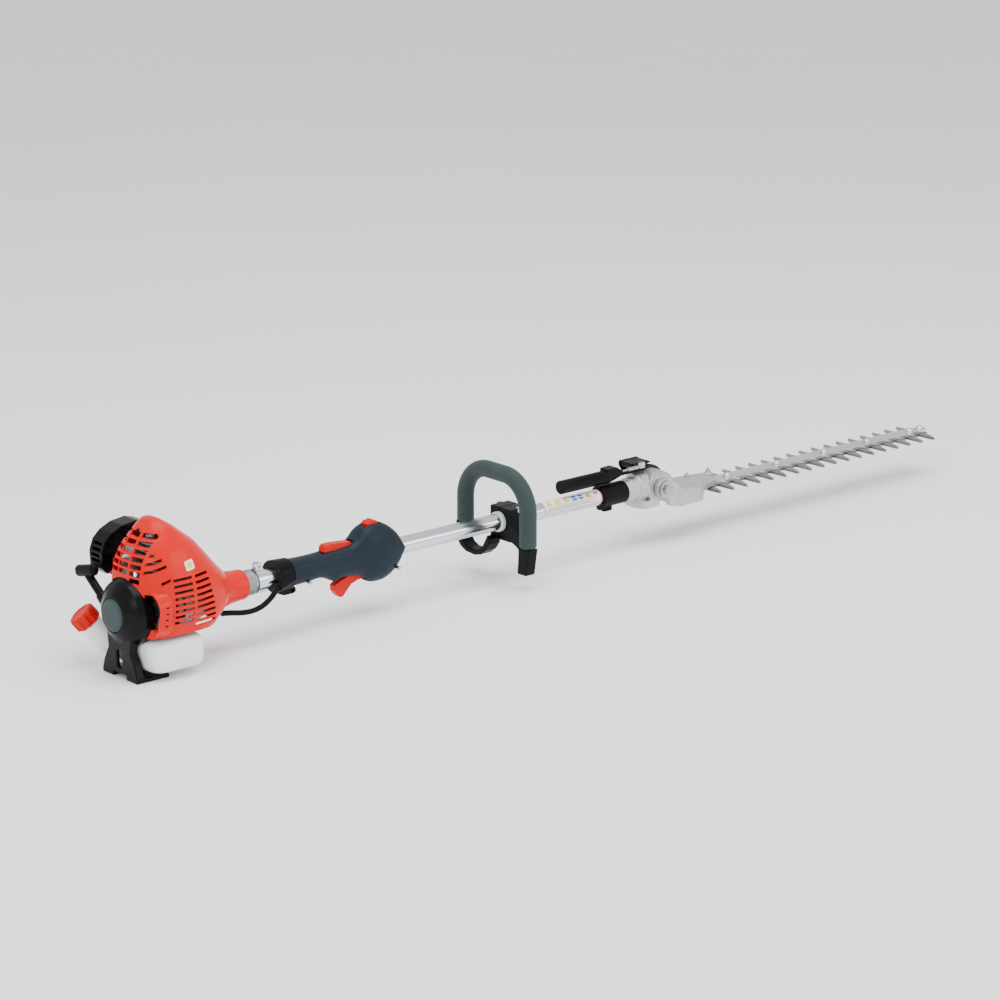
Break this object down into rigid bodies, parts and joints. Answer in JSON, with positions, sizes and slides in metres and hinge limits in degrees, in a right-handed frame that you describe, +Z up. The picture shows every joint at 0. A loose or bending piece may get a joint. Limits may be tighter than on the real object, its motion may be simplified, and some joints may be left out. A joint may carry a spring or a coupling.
{
  "type": "pole hedge trimmer",
  "caption": "Petrol engine on an aluminium drive tube with a throttle grip and a loop handle, ending in a folding gear head that drives a long double-sided reciprocating hedge cutter.",
  "frame": {"origin": "middle of the stand's flat foot under the engine, on the floor", "axes": "+X along the drive tube towards the blade tip, +Z up, +Y to the side of the fuel cap and air cleaner"},
  "size_m": [1.652, 0.1918, 0.221],
  "materials": {
    "red_plastic": "glossy",
    "black_plastic": "satin",
    "grey_badge": "satin",
    "slate_plastic": "satin",
    "tank_plastic": "translucent",
    "foam_rubber": "matte",
    "soft_white": "matte",
    "clear_bulb": "translucent",
    "black_rubber": "matte",
    "cast_alloy": "cast",
    "bright_alloy": "polished",
    "blade_steel": "ground",
    "machined_steel": "machined",
    "sheet_steel": "heat-stained",
    "blackened_steel": "black",
    "ceramic": "glazed",
    "rope": "braided",
    "filter_foam": "open-cell",
    "label_film": "glossy"
  },
  "bodies": {
    "machine": {"engine_cover": "red_plastic", "starter_cover": "black_plastic", "starter_badge": "grey_badge", "starter_rope": "rope", "crankcase": "cast_alloy", "cylinder": "cast_alloy", "piston": "cast_alloy", "spark_plug": "ceramic", "plug_cap": "black_plastic", "muffler": "sheet_steel", "carburetor": "cast_alloy", "air_cleaner_case": "black_plastic", "air_filter": "filter_foam", "fuel_tank": "tank_plastic", "clutch_housing": "cast_alloy", "tube_clamp": "bright_alloy", "drive_tube": "bright_alloy", "shaft_bushes": "black_plastic", "throttle_conduit": "black_rubber", "grip_end_cap": "black_plastic", "grip_near_shell": "slate_plastic", "grip_far_shell": "slate_plastic", "trigger_spring": "machined_steel", "grip_screws": "machined_steel", "loop_rod": "machined_steel", "loop_frame": "black_plastic", "loop_clamp": "black_plastic", "loop_grip": "foam_rubber", "clamp_cushion": "soft_white", "loop_bolts": "machined_steel", "tube_label": "label_film", "head_sleeve": "black_plastic", "input_case": "cast_alloy", "quadrant": "blackened_steel", "pivot_bolts": "machined_steel"},
    "rotor": {"crankshaft": "machined_steel", "flywheel": "cast_alloy", "clutch_shoes": "machined_steel"},
    "driveline": {"clutch_drum": "machined_steel", "drive_shaft": "machined_steel", "bevel_pinion": "machined_steel"},
    "idler": {"idler_gear": "machined_steel"},
    "cutter": {"cutter_case": "cast_alloy", "case_cover": "cast_alloy", "case_bolts": "machined_steel", "adjust_handle": "black_plastic", "latch_rod": "machined_steel", "guide_bar": "blade_steel"},
    "cam": {"cam_gear": "machined_steel"},
    "latch": {"latch_lever": "blackened_steel"},
    "top_blade": {"upper_blade": "blade_steel"},
    "bottom_blade": {"lower_blade": "blade_steel"},
    "reel": {"starter_reel": "black_plastic"},
    "puller": {"starter_grip": "black_plastic"},
    "cap": {"fuel_cap": "red_plastic"},
    "trigger": {"throttle_trigger": "red_plastic"},
    "lockout": {"lockout_lever": "red_plastic"},
    "switch": {"stop_switch": "red_plastic"},
    "primer": {"primer_bulb": "clear_bulb"},
    "choke": {"choke_lever": "red_plastic"}
  },
  "joints": [
    {"name": "crank_spin", "type": "hinge", "parent": "machine", "child": "rotor", "pos_m": [0.044, 0, 0.092], "axis": [1, 0, 0], "continuous": true},
    {"name": "drive_spin", "type": "hinge", "parent": "machine", "child": "driveline", "pos_m": [0.092, 0, 0.092], "axis": [1, 0, 0], "continuous": true},
    {"name": "idler_spin", "type": "hinge", "parent": "machine", "child": "idler", "pos_m": [0.975, 0, 0.092], "axis": [0, 1, 0], "continuous": true},
    {"name": "cutter_fold", "type": "hinge", "parent": "machine", "child": "cutter", "pos_m": [0.975, 0, 0.092], "axis": [0, 1, 0], "range_deg": [0, 90]},
    {"name": "cam_spin", "type": "hinge", "parent": "cutter", "child": "cam", "pos_m": [1.032, 0, 0.074], "axis": [0, 0, 1], "continuous": true},
    {"name": "latch_squeeze", "type": "hinge", "parent": "cutter", "child": "latch", "pos_m": [0.952, 0.005, 0.1285], "axis": [0, -1, 0], "range_deg": [0, 12], "stiffness_Nm_per_rad": 0.3, "springref_deg": -11.46},
    {"name": "top_blade_slide", "type": "slide", "parent": "cutter", "child": "top_blade", "axis": [1, 0, 0], "range_m": [-0.00725, 0.00725]},
    {"name": "bottom_blade_slide", "type": "slide", "parent": "cutter", "child": "bottom_blade", "axis": [1, 0, 0], "range_m": [-0.00725, 0.00725]},
    {"name": "starter_pull", "type": "slide", "parent": "machine", "child": "puller", "axis": [0, 0.8, 0.6], "range_m": [0, 0.5], "stiffness_N_per_m": 12, "springref_m": -0.4, "deforming": ["starter_rope"]},
    {"name": "reel_spin", "type": "hinge", "parent": "machine", "child": "reel", "pos_m": [-0.02, 0, 0.092], "axis": [1, 0, 0], "range_deg": [0, 1512]},
    {"name": "cap_turn", "type": "hinge", "parent": "machine", "child": "cap", "pos_m": [-0.0227, 0.078, 0.0607], "axis": [-0.5633, 0.2989, 0.7703], "continuous": true},
    {"name": "trigger_squeeze", "type": "hinge", "parent": "machine", "child": "trigger", "pos_m": [0.394, 0, 0.07], "axis": [0, 1, 0], "range_deg": [0, 18], "stiffness_Nm_per_rad": 0.5, "springref_deg": -17.19},
    {"name": "lockout_press", "type": "hinge", "parent": "machine", "child": "lockout", "pos_m": [0.376, 0, 0.111], "axis": [0, -1, 0], "range_deg": [0, 6], "stiffness_Nm_per_rad": 1, "springref_deg": -11.46},
    {"name": "switch_slide", "type": "slide", "parent": "machine", "child": "switch", "axis": [1, 0, 0], "range_m": [0, 0.006]},
    {"name": "primer_push", "type": "slide", "parent": "machine", "child": "primer", "axis": [1, 0, 0], "range_m": [0, 0.004], "stiffness_N_per_m": 400, "springref_m": -0.002},
    {"name": "choke_turn", "type": "hinge", "parent": "machine", "child": "choke", "pos_m": [0.014, 0.05, 0.15], "axis": [1, 0, 0], "range_deg": [0, 35]}
  ],
  "couplings": [
    {"joint": "idler_spin", "follows": "drive_spin", "ratio": -1},
    {"joint": "cam_spin", "follows": "drive_spin", "ratio": -0.25},
    {"joint": "bottom_blade_slide", "follows": "top_blade_slide", "ratio": -1},
    {"joint": "reel_spin", "follows": "starter_pull", "rad_per_m": 52.632}
  ]
}
